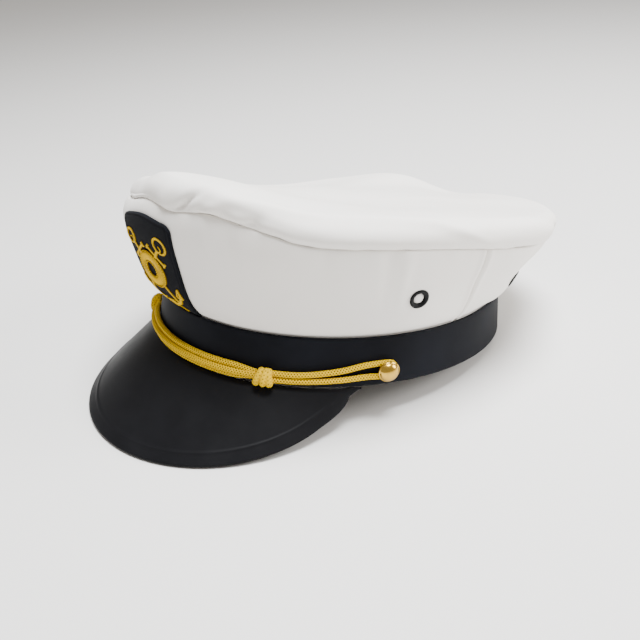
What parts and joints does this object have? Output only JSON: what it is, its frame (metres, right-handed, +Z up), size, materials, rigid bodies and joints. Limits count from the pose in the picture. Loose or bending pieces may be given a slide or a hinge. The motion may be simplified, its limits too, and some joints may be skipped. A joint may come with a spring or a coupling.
{
  "type": "captain hat",
  "caption": "Peaked yacht captain's hat with a soft white cloth crown, dark head band, moulded black peak, anchor badge and gold cord held by side buttons.",
  "frame": {"origin": "centre of the underside of the whole hat's box, on the surface that it rests on", "axes": "+Z up from the surface; -Y towards the peak, at the front; +X towards the wearer's left. The head band is tilted back so that the hat rests on its peak and the rear of its band."},
  "size_m": [0.1956, 0.28, 0.1301],
  "materials": {
    "crown_cloth": "white cotton twill, matt with a soft sheen",
    "band_cloth": "black wool-like band cloth, matt",
    "peak_plastic": "black moulded plastic, satin gloss",
    "patch_felt": "dark navy felt, matt",
    "embroidery_thread": "gold embroidery thread, silky",
    "cord_braid": "gold yellow braided cord, silky",
    "button_metal": "polished pale gold metal",
    "eyelet_metal": "black enamelled metal"
  },
  "bodies": {
    "root": {"crown_left_panel": "crown_cloth", "crown_right_panel": "crown_cloth", "crown_back_panel": "crown_cloth", "crown_top": "crown_cloth", "band": "band_cloth", "peak": "peak_plastic", "badge_patch": "patch_felt", "badge_emblem": "embroidery_thread", "cord_front_upper": "cord_braid", "cord_front_middle": "cord_braid", "cord_front_lower": "cord_braid", "cord_left_turn": "cord_braid", "cord_right_turn": "cord_braid", "knot_left": "cord_braid", "knot_right": "cord_braid", "button_left": "button_metal", "button_right": "button_metal", "eyelet_side_left": "eyelet_metal", "eyelet_side_right": "eyelet_metal", "eyelet_rear_left": "eyelet_metal", "eyelet_rear_right": "eyelet_metal"}
  },
  "joints": []
}
